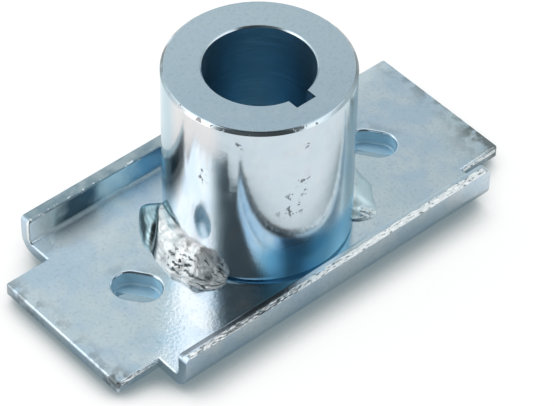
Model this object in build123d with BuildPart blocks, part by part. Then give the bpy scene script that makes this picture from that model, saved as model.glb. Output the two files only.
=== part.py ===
"""Mower blade holder: a folded steel plate that carries the blade, with a keyed hub welded on it for the crankshaft.

Millimetres, +Z up. The origin is on the bore's axis, on the plate's underside, where the blade is clamped.
+X runs along the plate, the lugs that drive the blade point down, and the keyway faces -Y.
"""

import os

from build123d import *

# Folded plate
sheet_thickness = 2.5
plate_length = 100.0  # over the two end tabs
tab_width = 34.5
tab_corner_radius = 0.6
channel_length = 79.5  # along the flanges
channel_width = 50.5  # outside the flanges
flange_height = 8.3  # from the underside
flange_corner_radius = 1.0
bend_radius = 1.0  # on the inside of the fold
edge_roll = 0.4  # rounding that blanking leaves on the upper edges
bolt_hole_diameter = 10.5
lug_length = 10.0  # of the oblong recess that the punch leaves on top
lug_width = 7.0
lug_spacing = 62.0
lug_angle = -54.0  # from the plate's length
lug_recess = 3.1  # from the plate's upper side
lug_height = 2.3  # below the plate's underside
lug_wall = 1.1  # round the recess
lug_roll = 0.5  # rounding of the recess's rim
lug_floor_radius = 0.6  # round the recess's floor
lug_chamfer = 0.5  # on the lug's nose

# Turned hub
hub_diameter = 38.0
hub_length = 40.0
hub_chamfer = 0.7
bore_diameter = 22.2
bore_chamfer = 0.3
key_width = 4.76
key_depth = 2.4  # beyond the bore's wall

# Fillet welds between the hub and the plate
weld_plate_leg = 5.0
weld_hub_leg = 6.0
weld_crown = 0.7  # how far the face stands out of a straight one
weld_first_angle = 148.0  # where the left bead has its full section, from +X
weld_full_arc = 47.0

hub_radius = hub_diameter / 2
bore_radius = bore_diameter / 2
hub_top = sheet_thickness + hub_length
inner_half_width = channel_width / 2 - sheet_thickness
on_face = 0.01  # how near to a face an edge counts as on it


# Strip folded up along both long sides, with the edges of its upper side rolled by the blanking die
with BuildPart() as channel:
    with BuildSketch(Plane.YZ.offset(-channel_length / 2)) as fold:
        with Locations((0, flange_height / 2)):
            Rectangle(channel_width, flange_height)
        fillet(fold.vertices().group_by(Axis.Y)[0], bend_radius + sheet_thickness)
        with Locations((0, sheet_thickness + flange_height / 2)):
            Rectangle(2 * inner_half_width, flange_height, mode=Mode.SUBTRACT)
        fillet(fold.vertices().group_by(Axis.Y)[1], bend_radius)
    extrude(amount=channel_length)
    flange_corners = channel.edges().filter_by(Axis.Y).group_by(Axis.Z)[-1]
    fillet(flange_corners, flange_corner_radius)

    reach = inner_half_width + on_face
    upper_side = channel.edges().filter_by_position(Axis.Y, -reach, reach)
    upper_side = upper_side.filter_by_position(Axis.Z, sheet_thickness - on_face, flange_height + on_face)
    lengthwise = upper_side.filter_by(Axis.X)
    flange_tops = lengthwise.group_by(Axis.Z)[-1]
    end_edges = upper_side.filter_by(lambda edge: edge not in lengthwise)
    fillet(end_edges + flange_tops, edge_roll)

# The strip's flat tabs run on past the folds, with a bolt hole in the middle and a lug pressed down at each end
with BuildPart() as base_plate:
    with BuildSketch() as tabs:
        RectangleRounded(plate_length, tab_width, tab_corner_radius)
    extrude(amount=sheet_thickness)
    fillet(base_plate.faces().sort_by(Axis.Z)[-1].edges(), edge_roll)
    add(channel.part)

    with BuildSketch() as lugs:
        with GridLocations(lug_spacing, 0, 2, 1):
            SlotOverall(lug_length + 2 * lug_wall, lug_width + 2 * lug_wall, rotation=lug_angle)
    extrude(amount=-lug_height)
    chamfer(base_plate.faces().group_by(Axis.Z)[0].edges(), lug_chamfer)
    with BuildSketch(Plane.XY.offset(sheet_thickness)) as recesses:
        with GridLocations(lug_spacing, 0, 2, 1):
            SlotOverall(lug_length, lug_width, rotation=lug_angle)
    extrude(amount=-lug_recess, mode=Mode.SUBTRACT)
    recess_edges = base_plate.edges(Select.LAST).group_by(Axis.Z)
    fillet(recess_edges[-1], lug_roll)
    fillet(recess_edges[0], lug_floor_radius)

    with BuildSketch() as bolt_hole:
        Circle(bolt_hole_diameter / 2)
    extrude(amount=sheet_thickness, mode=Mode.SUBTRACT)

# Bar turned to size and bored, then broached for the key
with BuildPart() as hub:
    with BuildSketch(Plane.XZ) as turned_section:
        with BuildLine() as turned_line:
            Polyline(
                (bore_radius + bore_chamfer, sheet_thickness),
                (hub_radius - hub_chamfer, sheet_thickness),
                (hub_radius, sheet_thickness + hub_chamfer),
                (hub_radius, hub_top - hub_chamfer),
                (hub_radius - hub_chamfer, hub_top),
                (bore_radius + bore_chamfer, hub_top),
                (bore_radius, hub_top - bore_chamfer),
                (bore_radius, sheet_thickness + bore_chamfer),
                close=True,
            )
        make_face()
    revolve(axis=Axis.Z)
    with BuildSketch(Plane.XY.offset(sheet_thickness)) as keyway:
        with Locations((0, -(bore_radius + key_depth) / 2)):
            Rectangle(key_width, bore_radius + key_depth)
    extrude(amount=hub_length, mode=Mode.SUBTRACT)


def weld_section(angle):
    """Cross-section of a bead, upright on the plate against the hub, at this angle round the axis."""
    foot = Vector(hub_radius, sheet_thickness)
    toe = foot + Vector(weld_plate_leg, 0)
    top = foot + Vector(0, weld_hub_leg)
    crown = (toe + top) / 2 + Vector(weld_hub_leg, weld_plate_leg).normalized() * weld_crown
    with BuildSketch(Plane.XZ.rotated((0, 0, angle))) as section:
        with BuildLine():
            Polyline(foot, toe, crown, top, close=True)
        make_face()
    return section.sketch


def weld_bead(first_angle):
    """One bead: its section carried round the hub, turned about the hub's wall at both ends, and trimmed to it."""
    last_angle = first_angle + weld_full_arc
    with BuildPart() as bead:
        revolve(weld_section(first_angle), axis=Axis.Z, revolution_arc=weld_full_arc)
        for angle, turn in ((first_angle, -1), (last_angle, 1)):
            wall_line = Axis(Vector(hub_radius, 0, 0).rotate(Axis.Z, angle), (0, 0, turn))
            revolve(weld_section(angle), axis=wall_line, revolution_arc=180)
        Cylinder(hub_radius, hub_top, align=(Align.CENTER, Align.CENTER, Align.MIN), mode=Mode.SUBTRACT)
    return bead.part


beads = {
    "weld_bead_left": weld_bead(weld_first_angle),
    "weld_bead_right": weld_bead(weld_first_angle + 180),
}

os.makedirs("parts", exist_ok=True)
for name, piece in {"base_plate": base_plate.part, "hub": hub.part, **beads}.items():
    piece.label = name
    export_step(piece, f"parts/{name}.step")
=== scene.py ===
import math

import bmesh
import bpy
import numpy as np
from mathutils import Matrix, Vector


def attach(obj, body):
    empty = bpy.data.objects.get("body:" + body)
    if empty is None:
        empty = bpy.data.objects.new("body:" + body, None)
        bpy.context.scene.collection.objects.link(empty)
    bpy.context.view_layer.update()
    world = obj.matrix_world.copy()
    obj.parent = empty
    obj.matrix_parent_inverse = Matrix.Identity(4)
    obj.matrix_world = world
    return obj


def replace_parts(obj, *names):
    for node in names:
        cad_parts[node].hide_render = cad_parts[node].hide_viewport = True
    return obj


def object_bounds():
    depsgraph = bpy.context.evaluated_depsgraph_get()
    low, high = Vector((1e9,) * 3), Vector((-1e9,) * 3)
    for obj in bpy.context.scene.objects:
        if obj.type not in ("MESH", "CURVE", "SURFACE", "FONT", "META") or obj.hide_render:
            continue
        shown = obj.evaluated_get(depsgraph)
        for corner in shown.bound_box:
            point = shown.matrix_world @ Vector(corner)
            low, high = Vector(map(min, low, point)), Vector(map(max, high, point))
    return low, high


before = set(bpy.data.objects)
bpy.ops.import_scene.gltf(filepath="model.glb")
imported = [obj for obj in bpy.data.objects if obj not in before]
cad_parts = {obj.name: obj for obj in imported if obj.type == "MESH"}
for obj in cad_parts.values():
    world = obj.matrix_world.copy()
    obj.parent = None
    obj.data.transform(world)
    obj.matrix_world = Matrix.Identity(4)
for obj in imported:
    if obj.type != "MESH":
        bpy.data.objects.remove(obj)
cad_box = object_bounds()

# Base plate: strip steel, blanked, folded up along both long sides, with two lugs pressed down through it.
# The holder was zinc plated and passivated blue after welding. On the rolled sheet the plating is satin
# and mottled, with grey stains where the bath drained off the corners.
plate_end = 0.050
plate_top = 0.0025
flange_wall = 0.02275  # from the middle to the flanges' inner sides
flange_top = 0.0083
hub_radius = 0.019
lug_middles = (-0.031, 0.031)
lug_lengthwise = (0.588, -0.809, 0)
lug_crosswise = (0.809, 0.588, 0)
lug_radius = 0.0035
lug_straight = 0.0015  # half of the recess's straight side
recess_level = -0.0006
front = (-0.66, -0.75, 0)  # over the floor, towards the viewer
back = (0.66, 0.75, 0)
left = (-0.75, 0.66, 0)
pocks_along = (-0.707, -0.707, 0)
pocks_across = (0.707, -0.707, 0)
pocks_line = -0.0141  # where the pocked strip's middle lies across

blue_zinc = (0.55, 0.67, 0.775, 1)
pale_zinc = (0.67, 0.74, 0.785, 1)
hazy_zinc = (0.64, 0.73, 0.755, 1)
grain_grey = (0.40, 0.48, 0.54, 1)
rim_painted_shade = (0.33, 0.40, 0.45, 1)
stain_grey = (0.20, 0.23, 0.24, 1)
inner_edge_grey = (0.17, 0.20, 0.23, 1)
joint_blue = (0.26, 0.52, 0.72, 1)
wall_reflection_white = (0.90, 0.99, 1.0, 1)
wall_reflection_dark = (0.07, 0.14, 0.19, 1)
wall_reflection_blue = (0.20, 0.52, 0.78, 1)
frost_white = (0.97, 1.0, 1.0, 1)
far_top_dark = (0.25, 0.34, 0.39, 1)
far_top_grey = (0.42, 0.50, 0.54, 1)
painted_glint_white = (0.98, 1.0, 1.0, 1)
recess_painted_shade = (0.35, 0.48, 0.57, 1)
recess_wall_painted_blue = (0.62, 0.86, 0.98, 1)
recess_floor_painted_blue = (0.48, 0.69, 0.82, 1)
recess_corner_painted_shade = (0.40, 0.58, 0.70, 1)


class Shade:
    """A value inside a material or the world: a wrapped socket, so that maths reads as an expression."""

    def __init__(self, tree, socket):
        self.tree = tree
        self.socket = socket

    def feed(self, socket, value):
        """Links a Shade to a node's input, or sets a plain number, vector or colour on it."""
        if isinstance(value, Shade):
            self.tree.links.new(value.socket, socket)
        else:
            socket.default_value = value

    def node(self, kind, settings, inputs, output=0):
        """Adds a node of this kind, sets it up, then feeds its sockets, and gives one of its outputs."""
        made = self.tree.nodes.new(kind)
        for key, value in settings.items():
            setattr(made, key, value)
        for key, value in inputs.items():
            self.feed(made.inputs[key], value)
        return Shade(self.tree, made.outputs[output])

    def maths(self, operation, first, second=0.0):
        """Result of a Math node on one or two values."""
        return self.node("ShaderNodeMath", {"operation": operation}, {0: first, 1: second})

    def __add__(self, other):
        return self.maths("ADD", self, other)

    __radd__ = __add__

    def __mul__(self, other):
        return self.maths("MULTIPLY", self, other)

    __rmul__ = __mul__

    def __sub__(self, other):
        return self.maths("SUBTRACT", self, other)

    def __rsub__(self, other):
        return self.maths("SUBTRACT", other, self)

    def size(self):
        """The value without its sign."""
        return self.maths("ABSOLUTE", self)

    def step(self, low, high):
        """Smooth rise from 0 at low to 1 at high."""
        limits = {"Value": self, "From Min": low, "From Max": high, "To Min": 0.0, "To Max": 1.0}
        return self.node("ShaderNodeMapRange", {"interpolation_type": "SMOOTHSTEP"}, limits)

    def vector(self, operation, second, output="Vector"):
        """Result of a Vector Math node on this vector and a second one."""
        return self.node("ShaderNodeVectorMath", {"operation": operation}, {0: self, 1: second}, output)

    def along(self, axis):
        """How far a place lies along this direction."""
        return self.vector("DOT_PRODUCT", axis, "Value")

    def away(self, spot):
        """How far a place lies from this spot."""
        return self.vector("DISTANCE", spot, "Value")

    def noise(self, waves, detail):
        """Soft random field from 0 to 1: waves per metre along X, Y and Z, and how many finer layers."""
        inputs = {"Vector": self.vector("MULTIPLY", waves), "Scale": 1.0, "Detail": detail}
        return self.node("ShaderNodeTexNoise", {}, inputs)

    def tint(self, plain, marked):
        """Colour that goes from plain, where the value is 0, to marked, where it is 1."""
        return self.node("ShaderNodeMix", {"data_type": "RGBA"}, {0: self, 6: plain, 7: marked}, 2)

    def bump(self, depth):
        """Normal of a surface that each unit of this value lifts by depth metres."""
        inputs = {"Strength": 1.0, "Distance": depth, "Height": self}
        return self.node("ShaderNodeBump", {}, inputs, "Normal")


def new_finish(name, metallic):
    """An empty material, its Principled shader's inputs, and the place on the object."""
    material = bpy.data.materials.new(name)
    material.use_nodes = True
    tree = material.node_tree
    inputs = tree.nodes["Principled BSDF"].inputs
    inputs["Metallic"].default_value = metallic
    coordinates = tree.nodes.new("ShaderNodeTexCoord")
    return material, inputs, Shade(tree, coordinates.outputs["Object"])


def coat_node(name, material):
    """Gives a CAD node its material."""
    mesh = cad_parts[name].data
    mesh.materials.clear()
    mesh.materials.append(material)


plate_zinc, surface, place = new_finish("plate_zinc", 1.0)
endwise = place.along((1, 0, 0))
sidewise = place.along((0, 1, 0))
height = place.along((0, 0, 1))
end_distance = endwise.size()
side_distance = sidewise.size()
radius = place.vector("MULTIPLY", (1, 1, 0)).away((0, 0, 0))

# The rolled sheet's own pattern, and stains at its ends and at the two near corners
mottle = place.noise((150, 150, 150), 4.0)
grain = place.noise((1500, 1500, 1500), 3.0)
smudge = place.noise((330, 330, 330), 5.0)
haze = place.noise((60, 60, 60), 3.0).step(0.48, 0.68)
drained = 0
drained_corners = (((plate_end, -0.013, plate_top), 0.010), ((-plate_end, -0.017, plate_top), 0.006))
for corner, reach in drained_corners:
    drained = drained + (1 - place.away(corner).step(0.002, reach)) * smudge.step(0.36, 0.56)
stain = end_distance.step(plate_end - 0.0050, plate_end + 0.0002) * smudge.step(0.44, 0.60) + drained
bent = side_distance.step(flange_wall - 0.00225, flange_wall - 0.00025)

# The joint in front of the hub, where the plating is blue and rises a little, and a pocked strip that runs
# past the left lug to the near corner
joint = 1 - radius.step(hub_radius, hub_radius + 0.0013)
joint = joint * height.step(plate_top - 0.0005, plate_top - 0.0001)
joint = joint * place.along(front).step(0.010, 0.015) * place.along(left).step(-0.006, 0.001)
pocked = 1 - (place.along(pocks_across) - pocks_line).size().step(0.0010, 0.0055)
pocked = pocked * place.along(pocks_along).step(0.020, 0.027)

# The near flange's upper edge, dark on its inner half at the left
near_side = 1 - sidewise.step(-0.001, 0.001)
dark_inner_edge = near_side * (1 - endwise.step(-0.020, 0.005))
dark_inner_edge = dark_inner_edge * height.step(flange_top - 0.0003, flange_top - 0.0002)
dark_inner_edge = dark_inner_edge * (1 - side_distance.step(flange_wall + 0.00085, flange_wall + 0.00145))

# The far flange: its inner wall carries a painted reflection, white with a dark band and then a blue one, and
# is frosted at the left end; its edge is grey with painted glints, and the plate along its fold is rougher
far_side = 1 - near_side
far_wall = side_distance.step(flange_wall - 0.00055, flange_wall - 0.00005)
far_wall = far_side * far_wall * (1 - side_distance.step(flange_wall + 0.00045, flange_wall + 0.00085))
far_wall = far_wall * height.step(plate_top + 0.0001, plate_top + 0.0009)
far_wall = far_wall * (1 - height.step(flange_top - 0.0005, flange_top - 0.0002))
wavering = endwise + (smudge - 0.5) * 0.006
frosted = far_wall * (1 - wavering.step(-0.0355, -0.0325))
# Bands of painted reflection along the far wall: a dark one, then a blue one
dark_reflection_band = far_wall * wavering.step(-0.0350, -0.0295) * (1 - wavering.step(-0.0245, -0.0195))
blue_reflection_band = far_wall * wavering.step(-0.0170, -0.0105)
far_top = far_side * height.step(flange_top - 0.0003, flange_top - 0.0001)
# Painted glints along the far flange's edge, in white specks
painted_glints = far_side * height.step(flange_top - 0.0007, flange_top - 0.0005)
painted_glints = painted_glints * (1 - side_distance.step(flange_wall + 0.00035, flange_wall + 0.00075))
painted_glints = painted_glints * place.noise((700, 700, 700), 2.0).step(0.60, 0.66)
far_fold = far_side * side_distance.step(flange_wall - 0.01225, flange_wall - 0.00225)
far_fold = far_fold * (1 - far_wall) * (1 - far_top) * wavering.step(-0.0385, -0.0340)

# The lugs' recesses, with painted shade and reflections in them: wall, floor behind the middle, the corner
# between them, and painted shade behind the rim
recess = 0
recess_back = 0
recess_corner_shade = 0
rim_shade_behind = 0
for lug_middle in lug_middles:
    lug_place = place.vector("SUBTRACT", (lug_middle, 0, 0))
    beyond = place.maths("MAXIMUM", lug_place.along(lug_lengthwise).size() - lug_straight, 0.0)
    across = lug_place.along(lug_crosswise)
    from_axis = place.maths("SQRT", beyond * beyond + across * across)
    hollow = 1 - from_axis.step(lug_radius + 0.0001, lug_radius + 0.0002)
    hollow = hollow * (1 - height.step(plate_top - 0.0006, plate_top - 0.0002))
    floor_edge = from_axis.step(lug_radius - 0.0008, lug_radius - 0.0004)
    floor_edge = floor_edge * (1 - height.step(recess_level + 0.0004, recess_level + 0.0009))
    rim_ring = 1 - from_axis.step(lug_radius + 0.0010, lug_radius + 0.0037)
    recess = recess + hollow
    recess_back = recess_back + hollow * across.step(0.0003, 0.0007)
    recess_corner_shade = recess_corner_shade + hollow * floor_edge
    rim_shade_behind = rim_shade_behind + rim_ring * lug_place.along(back).step(0.0015, 0.0040)
recess_wall = recess * height.step(recess_level + 0.00001, recess_level + 0.00006)
recess_floor = recess_back * (1 - recess_wall)

# The sheet's own colour first, then each mark, painted shade, painted reflection and painted glint over it
colour = mottle.step(0.38, 0.62).tint(blue_zinc, pale_zinc)
colour = (haze * 0.5).tint(colour, hazy_zinc)
colour = ((1 - grain.step(0.28, 0.50)) * 0.32).tint(colour, grain_grey)
# Painted shade in a mottled arc behind each recess's rim
colour = (rim_shade_behind * smudge.step(0.35, 0.60) * 0.45).tint(colour, rim_painted_shade)
colour = (stain * 0.6).tint(colour, stain_grey)
colour = (dark_inner_edge * 0.85).tint(colour, inner_edge_grey)
colour = joint.tint(colour, joint_blue)
# Painted reflection on the far flange's inner wall: white, then a dark band, then a blue one
colour = (far_wall * 0.9).tint(colour, wall_reflection_white)
colour = (dark_reflection_band * 0.95).tint(colour, wall_reflection_dark)
colour = (blue_reflection_band * 0.9).tint(colour, wall_reflection_blue)
colour = (frosted * smudge.step(0.30, 0.52)).tint(colour, frost_white)
colour = far_top.tint(colour, smudge.step(0.35, 0.65).tint(far_top_dark, far_top_grey))
colour = painted_glints.tint(colour, painted_glint_white)
# Painted shade over the recesses' insides, painted reflections on their walls and on the floors behind the
# middle, and darker painted shade in the corner between them
colour = (recess * (1 - recess_wall) * 0.8).tint(colour, recess_painted_shade)
colour = recess_wall.tint(colour, recess_wall_painted_blue)
colour = recess_floor.tint(colour, recess_floor_painted_blue)
colour = (recess_corner_shade * 0.4).tint(colour, recess_corner_painted_shade)
polish = 0.12 + mottle * 0.05 + smudge.step(0.45, 0.75) * 0.06 + stain * 0.12
polish = polish + bent * 0.05 + far_fold * 0.36 + frosted * 0.1 + far_top * 0.2
polish = polish + (recess_wall + recess_floor) * 0.42 - recess * 0.06
relief = grain + mottle * 1.5 + (frosted * 4.0 + pocked * 2.5) * grain + joint * 13.0
place.feed(surface["Base Color"], colour)
place.feed(surface["Metallic"], 1 - recess_wall * 0.6)
place.feed(surface["Roughness"], polish)
place.feed(surface["Normal"], relief.bump(0.00002))
coat_node("base_plate", plate_zinc)

# Sheared edges: along the near flange's top and the near side of both end tabs, the die tore the last
# millimetre of the steel instead of cutting it. The tear is streaked and rough, and the plating on it is
# thin and bright in specks.
tear_dark = (0.26, 0.31, 0.34, 1)
tear_bright = (0.90, 0.92, 0.93, 1)
tear_sink = 0.0006  # how deep the strips' hidden sides reach into the metal
flange_span = (-0.0386, 0.0386)
flange_inner_line = ((-0.02425, 0.00845), (-0.0239, 0.00853))
flange_outer_line = (-0.02542, 0.00834)
left_tab_span = (-0.0491, -0.0402)
right_tab_span = (0.0402, 0.0491)
tab_inner_line = ((-0.01695, 0.00256), (-0.01695, 0.00256))
left_tab_outer_line = (-0.0175, 0.0019)
right_tab_outer_line = (-0.01755, 0.0017)


def lumps(across, along, length, count, seed):
    """Smooth random field of unit spread: a sum of plane waves of about this length, in any direction."""
    rng = np.random.default_rng(seed)
    heading = rng.uniform(0, 2 * np.pi, count)
    number = 2 * np.pi / (length * rng.uniform(0.7, 1.5, count))
    phase = rng.uniform(0, 2 * np.pi, count)
    across = np.multiply.outer(across, number * np.cos(heading))
    along = np.multiply.outer(along, number * np.sin(heading))
    return np.sin(across + along + phase).sum(axis=-1) * np.sqrt(2 / count)


def loft(name, loops, material):
    """Closed piece through a row of closed loops: bands of quads between neighbours, and a cap on each end.

    loops is an array of loop, point and coordinate, in metres.
    """
    count, points, _ = loops.shape
    number = np.arange(count * points).reshape(count, points)
    after = np.roll(number, -1, axis=1)
    quads = np.stack([number[:-1], number[1:], after[1:], after[:-1]], axis=-1).reshape(-1, 4)
    caps = [number[0].tolist(), number[-1][::-1].tolist()]
    mesh = bpy.data.meshes.new(name)
    mesh.from_pydata(loops.reshape(-1, 3).tolist(), [], quads.tolist() + caps)
    shape = bmesh.new()
    shape.from_mesh(mesh)
    bmesh.ops.recalc_face_normals(shape, faces=shape.faces)
    shape.to_mesh(mesh)
    shape.free()
    mesh.shade_smooth()
    mesh.materials.append(material)
    piece = bpy.data.objects.new(name, mesh)
    bpy.context.scene.collection.objects.link(piece)
    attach(piece, "root")
    return piece


torn_zinc, surface, place = new_finish("torn_zinc", 1.0)
darker_left = (1 - place.along((1, 0, 0)).step(-0.020, 0.010)) * 0.07
specks = place.noise((900, 2600, 2600), 3.0) - darker_left
place.feed(surface["Base Color"], specks.step(0.34, 0.46).tint(tear_dark, tear_bright))
place.feed(surface["Roughness"], 0.22 + specks * 0.16)
place.feed(surface["Normal"], specks.bump(0.00002))


def sheared_strip(name, span, inner, outer, rough, seed):
    """Strip along an edge: straight lines from its inner line to its outer one, lifted by streaks along it.

    span is where it starts and stops along X. inner gives Y and Z of the inner line at both of these
    places, and outer gives Y and Z of the outer line. Two lines sunk in the metal close it.
    """
    along = np.linspace(0, 1, 700)[:, None]
    out = np.linspace(0, 1, 18)[None, :]
    x = span[0] + (span[1] - span[0]) * along
    inner_y, inner_z = np.array(inner).reshape(2, 2).T[:, :, None, None]
    swing = 0.0001 * lumps(x, 0 * x, 0.004, 24, seed)
    y = inner_y[0] + (inner_y[1] - inner_y[0]) * along + swing
    z = inner_z[0] + (inner_z[1] - inner_z[0]) * along
    y = y + (outer[0] - y) * out
    z = z + (outer[1] - z) * out
    streaks = 0.00004 * lumps(x * 0.3, y + z, 0.0006, 60, seed + 1)
    streaks = streaks + 0.00002 * lumps(x * 0.3, y + z, 0.0014, 40, seed + 2)
    torn = np.stack(np.broadcast_arrays(x, y, z + rough * streaks), axis=-1)
    sunk = torn[:, [-1, 0]] - np.array([0, 0, tear_sink])
    sunk[:, 0, 1] += tear_sink
    return loft(name, np.concatenate([torn, sunk], axis=1), torn_zinc)


sheared_strip("torn_flange_edge", flange_span, flange_inner_line, flange_outer_line, rough=0.35, seed=11)
sheared_strip("torn_tab_edge_left", left_tab_span, tab_inner_line, left_tab_outer_line, rough=0.3, seed=13)
sheared_strip("torn_tab_edge_right", right_tab_span, tab_inner_line, right_tab_outer_line, rough=0.3, seed=17)

# Hub: steel bar, turned, bored and broached for the crankshaft's key, then welded on the plate. The
# plating is bright as a mirror outside, with a few pits and knocks, satin on the faced end, and blue and
# ringed by the tool in the bore.
hub_top = 0.0425
keyway_reach = 0.0137  # from the axis to the keyway's corners
pale_side = (-0.995, -0.1, 0)
knocks = (  # where each is, and how far its pits reach
    ((-0.0070, -0.0177, 0.0226), 0.0042),
    ((-0.0048, -0.0184, 0.0274), 0.0030),
    ((-0.0046, -0.0184, 0.0373), 0.0018),
    ((-0.0154, -0.0111, 0.0384), 0.0016),
    ((-0.0181, -0.0056, 0.0283), 0.0028),
)

turned_blue = (0.59, 0.69, 0.75, 1)
turned_pale = (0.635, 0.71, 0.76, 1)
film_grey = (0.46, 0.48, 0.50, 1)
pale_reflection_white = (0.79, 0.78, 0.785, 1)
edge_shade_blue = (0.40, 0.62, 0.70, 1)
foot_reflection_blue = (0.22, 0.60, 0.83, 1)
faced_back_lit = (0.55, 0.65, 0.72, 1)
faced_front_shaded = (0.48, 0.585, 0.665, 1)
faced_speck = (0.33, 0.41, 0.47, 1)
faced_film = (0.62, 0.69, 0.73, 1)
bore_blue = (0.36, 0.61, 0.76, 1)
bore_pale = (0.46, 0.73, 0.87, 1)
chamfer_dark = (0.15, 0.17, 0.17, 1)
pit_black = (0.05, 0.05, 0.055, 1)

hub_zinc, surface, place = new_finish("hub_zinc", 1.0)
height = place.along((0, 0, 1))
radius = place.vector("MULTIPLY", (1, 1, 0)).away((0, 0, 0))

# The bore with its keyway, the faced end, the turned outside and its upper chamfer
inside = 1 - radius.step(keyway_reach, keyway_reach + 0.0002)
inside = inside * (1 - height.step(hub_top - 0.0004, hub_top - 0.0003))
faced = height.step(hub_top - 0.0002, hub_top - 0.0001)
outside = 1 - faced - inside
chamfered = radius.step(hub_radius - 0.00065, hub_radius - 0.0006)
chamfered = chamfered * height.step(hub_top - 0.0007, hub_top - 0.0006)

# Tool marks, cloudy plating, and pits where the hub was knocked and along the chamfer
rings = place.noise((50, 50, 5200), 2.0)
tooled = place.noise((110, 110, 2600), 4.0).step(0.40, 0.66)
cloud = place.noise((170, 170, 170), 4.0)
film = place.noise((420, 420, 300), 4.0).step(0.45, 0.75)
speckle = place.noise((1500, 1500, 1500), 3.0)
knocked = 0
for spot, spread in knocks:
    knocked = knocked + (1 - place.away(spot).step(spread * 0.5, spread))
nicks = chamfered * place.noise((700, 700, 700), 3.0).step(0.60, 0.66)
pits = outside * knocked * place.noise((1000, 1000, 900), 3.0).step(0.58, 0.66) * 0.8 + nicks * 0.7

# Painted reflections: blue at the foot on the keyway's side and at the left and right, and pale above the
# left weld; and dark on the chamfer away from the viewer
foot = 1 - height.step(plate_top + 0.0065, plate_top + 0.0125)
foot = outside * foot * (1 - place.along((0, 1, 0)).step(0.0028 - hub_radius, 0.0065 - hub_radius))
painted_edge_shade = place.along(left).size().step(hub_radius - 0.0040, hub_radius - 0.0002)
painted_edge_shade = outside * (1 - chamfered) * painted_edge_shade
pale = outside * place.along(pale_side).step(hub_radius - 0.0015, hub_radius - 0.0003)
towards_front = place.along(front)
back_chamfer = chamfered * (1 - towards_front.step(-0.002, 0.008)) * cloud.step(0.35, 0.50)

# The turned steel's own colour first, then each surface, mark, painted reflection and painted shade over it
# Painted shade on the faced end: lighter at the back, darker towards the viewer
faced_light_and_shade = towards_front.step(-0.018, 0.018).tint(faced_back_lit, faced_front_shaded)
bore_colour = (tooled * cloud.step(0.35, 0.65)).tint(bore_blue, bore_pale)
colour = cloud.step(0.35, 0.68).tint(turned_blue, turned_pale)
colour = (film * 0.16).tint(colour, film_grey)
# Painted reflections on the turned side: pale above the left weld, blue at the left and right edges and at
# the foot
colour = pale.tint(colour, pale_reflection_white)
colour = (painted_edge_shade * 0.7).tint(colour, edge_shade_blue)
colour = (foot * 0.9).tint(colour, foot_reflection_blue)
colour = faced.tint(colour, faced_light_and_shade)
colour = (faced * (1 - speckle.step(0.30, 0.50)) * 0.22).tint(colour, faced_speck)
colour = (faced * film * 0.22).tint(colour, faced_film)
colour = inside.tint(colour, bore_colour)
colour = (back_chamfer * 0.85).tint(colour, chamfer_dark)
colour = (pits * 0.85).tint(colour, pit_black)
polish = 0.11 + faced * 0.09 + inside * 0.25 + outside * cloud.step(0.45, 0.8) * 0.05 + foot * 0.25
relief = outside * (rings * 0.12 + cloud * 1.5 - pits * 1.2) + inside * rings * 1.8 + faced * speckle * 0.4
place.feed(surface["Base Color"], colour)
place.feed(surface["Roughness"], polish + pits * 0.4)
place.feed(surface["Normal"], relief.bump(0.00003))
coat_node("hub", hub_zinc)

# Weld beads: two short fillet welds, left and right, that hold the hub on the plate. They were laid by
# hand, the left one thick, lumpy and full of pores, the right one flat, and plated bright with the rest.
plate_leg = 0.005
bead_start = 133.5  # degrees round the hub
bead_end = 211.0
start_taper = 146.0  # where the ends begin to narrow
end_taper = 199.0
taper_length = 12.6
# The bead's height on the hub and its face's power at these angles, and where the groove crosses it
leg_angles = [133.5, 136, 141, 150, 160, 170, 180, 189, 196, 202, 207, 211]
hub_legs = [0.0004, 0.0018, 0.0036, 0.0042, 0.0041, 0.0043, 0.0055, 0.0062, 0.0052, 0.0036, 0.0018, 0.0004]
face_powers = [0.6, 0.6, 0.62, 0.8, 1.15, 1.4, 1.5, 1.5, 1.4, 1.3, 1.2, 1.1]
flat_power = 1.6  # of a flat bead, at every angle
groove_places = [0, 0.0010, 0.0014, 0.0023, 0.0035, 0.0050]  # out from the hub's wall
groove_angles = [137, 146, 152, 158, 163, 168]
pore_angle = 187.0
crater_angle = 203.0
root_sink = 0.00005  # how far the face's edges lie inside the hub and the plate
toe_sink = 0.0002  # and the hidden sides, in the plate
wall_sink = 0.0004  # and in the hub

smooth_blue = (0.54, 0.75, 0.82, 1)
crust_pale = (0.89, 0.92, 0.93, 1)
crust_white = (0.97, 0.98, 0.985, 1)
crack_dark = (0.18, 0.18, 0.17, 1)
pore_and_shade_black = (0.09, 0.115, 0.125, 1)

weld_zinc, surface, place = new_finish("weld_zinc", 1.0)
pores_and_shade = place.node("ShaderNodeAttribute", {"attribute_name": "pores_and_shade"}, {}, "Fac")
crusty = place.node("ShaderNodeAttribute", {"attribute_name": "crust"}, {}, "Fac")
run = place.node("ShaderNodeAttribute", {"attribute_name": "run"}, {}, "Vector")
crust = run.noise((900, 2600, 0), 4.0)
cracks = run.noise((520, 1500, 0), 6.0).step(0.56, 0.63) * crusty
colour = crusty.tint(smooth_blue, crust.step(0.35, 0.65).tint(crust_pale, crust_white))
colour = (cracks * 0.3).tint(colour, crack_dark)
# Pores, the darker start, and painted shade in the groove and the crater
colour = (pores_and_shade * 0.9).tint(colour, pore_and_shade_black)
place.feed(surface["Base Color"], colour)
place.feed(surface["Metallic"], 1 - crusty * 0.2)
place.feed(surface["Roughness"], 0.30 + crusty * (0.08 + crust * 0.10))
place.feed(surface["Normal"], (crusty * (crust - cracks * 0.8)).bump(0.00005))


def rise_between(low, high, value):
    """Smooth rise from 0 at low to 1 at high: 3 t ** 2 - 2 t ** 3, where t is the part of the way."""
    part = np.clip((value - low) / (high - low), 0, 1)
    return part * part * (3 - 2 * part)


def bell(offset, width):
    """Bell curve, 1 at no offset: e to the power of -(offset / width) ** 2."""
    return np.exp(-((offset / width) ** 2))


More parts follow.
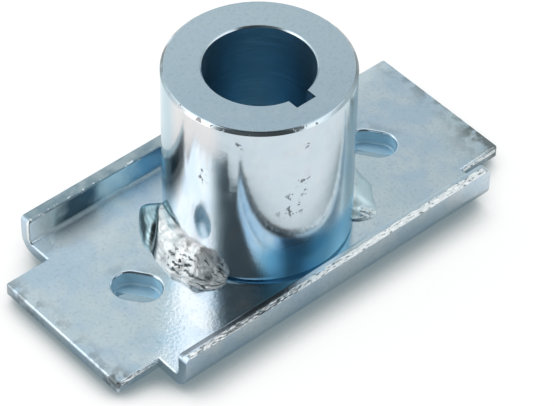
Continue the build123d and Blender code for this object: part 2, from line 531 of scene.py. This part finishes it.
def weld(name, turn, seed, lumpiness):
    """Bead round the hub's foot: a corner section carried along the arc, with its face pushed in and out.

    The section is x = plate leg * sin(u) ** p out from the wall and z = hub leg * cos(u) ** p up from the
    plate, where p is 2 for a straight face and less for a fuller one. The plate leg shrinks at the ends
    as a rounded bar does. A lumpy bead starts in a smooth blob, which a groove parts from the crust, and
    breaks off in a ragged end with a crater. A flat bead starts under a lump of spatter.
    """
    angle = np.linspace(bead_start, bead_end, 460)[:, None]
    u = np.linspace(0, np.pi / 2, 72)[None, :]
    arc = np.radians(angle) * (hub_radius + plate_leg / 2)
    across = u * plate_leg

    # The plain section, from its two legs and its power; averages over eight degrees leave no corners
    start_past = np.maximum(0, start_taper - angle) / taper_length
    end_past = np.maximum(0, angle - end_taper) / taper_length
    ends = np.sqrt(np.clip(1 - start_past**3 - end_past**2, 0.003, 1))
    out = plate_leg * ends * (1 + 0.04 * lumps(arc, 0 * arc, 0.006, 16, seed))
    nearby = angle + np.linspace(-4, 4, 17)
    leg = np.interp(nearby, leg_angles, hub_legs).mean(axis=1, keepdims=True)
    up = leg * (1 + 0.04 * lumps(arc, 0 * arc, 0.004, 16, seed + 1))
    flat_start = (1 - lumpiness) * (1 - rise_between(140, 152, angle))
    up = up * (1 - 0.5 * flat_start) * (0.65 + 0.35 * lumpiness)
    face_power = np.interp(nearby, leg_angles, face_powers).mean(axis=1, keepdims=True)
    power = face_power * lumpiness + flat_power * (1 - lumpiness)
    x = out * np.sin(u) ** power
    z = up * np.clip(np.cos(u), 0, 1) ** power

    # Where the groove, the crust after it, the crater, the ragged end, the spatter and the pores are
    groove_angle = np.interp(x, groove_places, groove_angles)
    groove = bell(angle - groove_angle, 3.0) * rise_between(0.0004, 0.0009, x)
    laid = rise_between(1, 6, angle - groove_angle)
    crater = bell(angle - crater_angle, 2.2) * bell(u - 0.80, 0.22)
    ragged = rise_between(190, 202, angle)
    spatter = (1 - rise_between(138, 143, angle)) * rise_between(0.3, 0.6, u)
    pored = bell(angle - pore_angle, 12) * bell(u - 0.9, 0.45)

    # How far the face is pushed out, in metres
    coarse = lumps(arc, across, 0.0040, 40, seed + 2)
    middle = lumps(arc * 0.6, across, 0.0013, 60, seed + 3)
    fine = lumps(arc * 0.5, across, 0.0006, 80, seed + 5)
    splash = lumps(arc, across, 0.0009, 60, seed + 7)
    holes = lumps(arc * 0.35, across, 0.0009, 60, seed + 4)
    holes = holes + 0.6 * lumps(arc * 0.5, across, 0.0005, 60, seed + 8)
    pores = np.clip(holes - 0.8, 0, 1) * pored**1.5
    swell = np.sin(2 * u) ** 0.6 * ends
    lumpy = laid * (0.00012 * coarse + 0.000028 * middle + 0.000008 * fine - 0.00045 * pores)
    lumpy = lumpy + ragged * 0.00012 * splash
    push = swell * (lumpiness * lumpy - lumpiness**3 * (0.0006 * groove + 0.0005 * crater))
    push = push + (1 - lumpiness) * swell * spatter * (0.0005 + 0.0002 * splash)
    x = x + push * np.sin(u)
    z = z + push * np.cos(u)

    # The section closed by hidden sides in the metal, and carried round the hub
    face = np.stack(np.broadcast_arrays(hub_radius - root_sink + x, plate_top - root_sink + z), axis=-1)
    sunk = np.stack([face[:, -1], face[:, -1], face[:, 0]], axis=1)
    sunk[:, 0, 1] -= toe_sink
    sunk[:, 1:, 0] = hub_radius - wall_sink
    sunk[:, 1, 1] = sunk[:, 0, 1]
    section = np.concatenate([face, sunk], axis=1)
    bearing = np.radians(angle + turn)
    reach, level = section[..., 0], section[..., 1]
    loops = np.stack([reach * np.cos(bearing), reach * np.sin(bearing), level], axis=-1)
    bead = loft(name, loops, weld_zinc)

    # What the material reads: the dark marks, which are pores, a darker start and painted shade in the groove
    # and the crater; the share of crust; and the place along and across the run
    on_face = slice(face.shape[1])
    streaks = lumps(arc * 0.3, across, 0.0008, 40, seed + 6)
    # Darker on the start blob past 141 degrees, before the groove, in streaks
    darker_start = (1 - laid) * rise_between(141, 150, angle) * np.clip(0.8 + 0.4 * streaks, 0, 1)
    # Painted shade in the groove and the crater, with the pores and the darker start
    dark = lumpiness**3 * (2.5 * pores + 0.9 * groove + crater + 0.55 * darker_start)
    crust_share = lumpiness * laid * (1 + 2.4 * ragged) + (1 - lumpiness) * (0.4 + 0.6 * spatter)
    for mark, share in (("pores_and_shade", np.clip(dark, 0, 1)), ("crust", crust_share)):
        values = np.zeros(section.shape[:2])
        values[:, on_face] = share
        bead.data.attributes.new(mark, "FLOAT", "POINT").data.foreach_set("value", values.ravel())
    run_places = np.zeros((*section.shape[:2], 3))
    run_places[..., 0] = arc
    run_places[:, on_face, 1] = across
    bead.data.attributes.new("run", "FLOAT_VECTOR", "POINT").data.foreach_set("vector", run_places.ravel())
    return bead


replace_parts(weld("left_weld", turn=0, seed=23, lumpiness=1.0), "weld_bead_left")
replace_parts(weld("right_weld", turn=180, seed=31, lumpiness=0.2), "weld_bead_right")

# Camera: stands where the photograph was taken from, with a long lens, and leans a little to one side
# as the photograph does.
camera_eye = Vector((-0.2837, -0.3209, 0.4347))
camera_aim = Vector((0.00488, -0.00092, 0.0029))
camera_roll = math.radians(1.15)
camera = bpy.data.objects.new("camera", bpy.data.cameras.new("camera"))
camera.data.lens = 196.87
camera.data.sensor_width = 36.0
camera.data.clip_end = 20.0
look = (camera_aim - camera_eye).to_track_quat("-Z", "Y").to_matrix().to_4x4()
camera.matrix_world = Matrix.Translation(camera_eye) @ look @ Matrix.Rotation(camera_roll, 4, "Z")
bpy.context.scene.collection.objects.link(camera)
bpy.context.scene.camera = camera

# Floor: a sheet of white paper that the holder stands on. It shows as white as the page, in the metal too,
# and darkens close round the holder, where little light reaches it.
floor_half = 3.0
floor_level = cad_box[0][2]
seen_shadow = 0.009  # how far the shadow reaches that the camera sees
mirrored_shadow = 0.020  # and the one that the metal mirrors
lit_from = (0.40, -0.36, 0.84)
page_light = 0.88
shadow_grey = (0.19, 0.25, 0.27, 1)
paper_grey = (0.20, 0.20, 0.20, 1)
white = (1, 1, 1, 1)
black = (0, 0, 0, 1)
floor_mesh = bpy.data.meshes.new("floor")
corners = [(-1, -1), (1, -1), (1, 1), (-1, 1)]
floor_points = [(x * floor_half, y * floor_half, floor_level) for x, y in corners]
floor_mesh.from_pydata(floor_points, [], [(0, 1, 2, 3)])
floor = bpy.data.objects.new("floor", floor_mesh)
bpy.context.scene.collection.objects.link(floor)
paper, surface, place = new_finish("paper", 0.0)
surface["Base Color"].default_value = paper_grey
surface["Roughness"].default_value = 1.0
surface["Specular IOR Level"].default_value = 0.0
surface["Emission Strength"].default_value = page_light
seen = place.node("ShaderNodeLightPath", {}, {}, "Is Camera Ray")
mirrored = place.node("ShaderNodeLightPath", {}, {}, "Is Glossy Ray")
through_glass = place.node("ShaderNodeLightPath", {}, {}, "Is Transmission Ray")
shown = place.maths("MAXIMUM", seen, place.maths("MAXIMUM", mirrored, through_glass))
seen_inputs = {"Distance": seen_shadow, "Normal": lit_from}
seen_open = place.node("ShaderNodeAmbientOcclusion", {"samples": 12}, seen_inputs, "AO")
mirrored_inputs = {"Distance": mirrored_shadow}
mirrored_open = place.node("ShaderNodeAmbientOcclusion", {"samples": 12}, mirrored_inputs, "AO")
seen_light = seen_open.step(0.35, 0.90)
mirrored_light = mirrored_open.step(0.70, 0.97)
light = mirrored_light + (seen_light - mirrored_light) * seen
page = light.tint(shadow_grey, white)
place.feed(surface["Emission Color"], shown.tint(black, page))
floor_mesh.materials.append(paper)

# Studio: a pale room, lighter on the left, half as light overhead and dark round the camera. One soft
# box is high on the left, with its near end down to the floor, one is half-way up on the right, and one
# is high up behind.
room_tint = (0.89, 0.98, 1.0, 1)
room_light = 0.62
left_extra = 0.26
left_box_light = 0.95
right_box_light = 0.75
back_box_light = 1.1
world = bpy.data.worlds.new("studio")
world.use_nodes = True
bpy.context.scene.world = world
background = world.node_tree.nodes["Background"]
coordinates = world.node_tree.nodes.new("ShaderNodeTexCoord")
direction = Shade(world.node_tree, coordinates.outputs["Generated"])
to_camera = Vector((camera_eye.x, camera_eye.y, 0)).normalized()
to_left = Vector((to_camera.y, -to_camera.x, 0))

# Degrees round from the camera, to the left and to the right, and degrees up
leftward = direction.maths("ARCTAN2", direction.along(to_left), direction.along(to_camera))
leftward = leftward * math.degrees(1)
rightward = leftward * -1
rise = direction.maths("ARCSINE", direction.along((0, 0, 1))) * math.degrees(1)
left_high = (1 - leftward.step(115, 140)) * rise.step(24, 40) * (1 - rise.step(58, 72))
left_low = (1 - leftward.step(76, 90)) * rise.step(0, 8) * (1 - rise.step(24, 40))
left_box = leftward.step(48, 62) * (left_high + left_low)
right_box = rightward.step(42, 56) * (1 - rightward.step(110, 135))
right_box = right_box * rise.step(22, 36) * (1 - rise.step(48, 60))
back_box = leftward.size().step(120, 150) * rise.step(52, 60) * (1 - rise.step(74, 82))
boxes = left_box * left_box_light + right_box * right_box_light + back_box * back_box_light
left_side = direction.maths("SINE", leftward * math.radians(1)).step(-0.25, 0.25)
round_camera = 1 - leftward.size().step(38, 62)
overhead = rise.step(54, 66)
room = (room_light + left_side * left_extra) * (1 - round_camera * 0.88) * (1 - overhead * 0.5)
direction.feed(background.inputs["Strength"], room + boxes)
direction.feed(background.inputs["Color"], boxes.step(0.0, 1.0).tint(room_tint, white))

bpy.context.scene.view_settings.view_transform = "Standard"
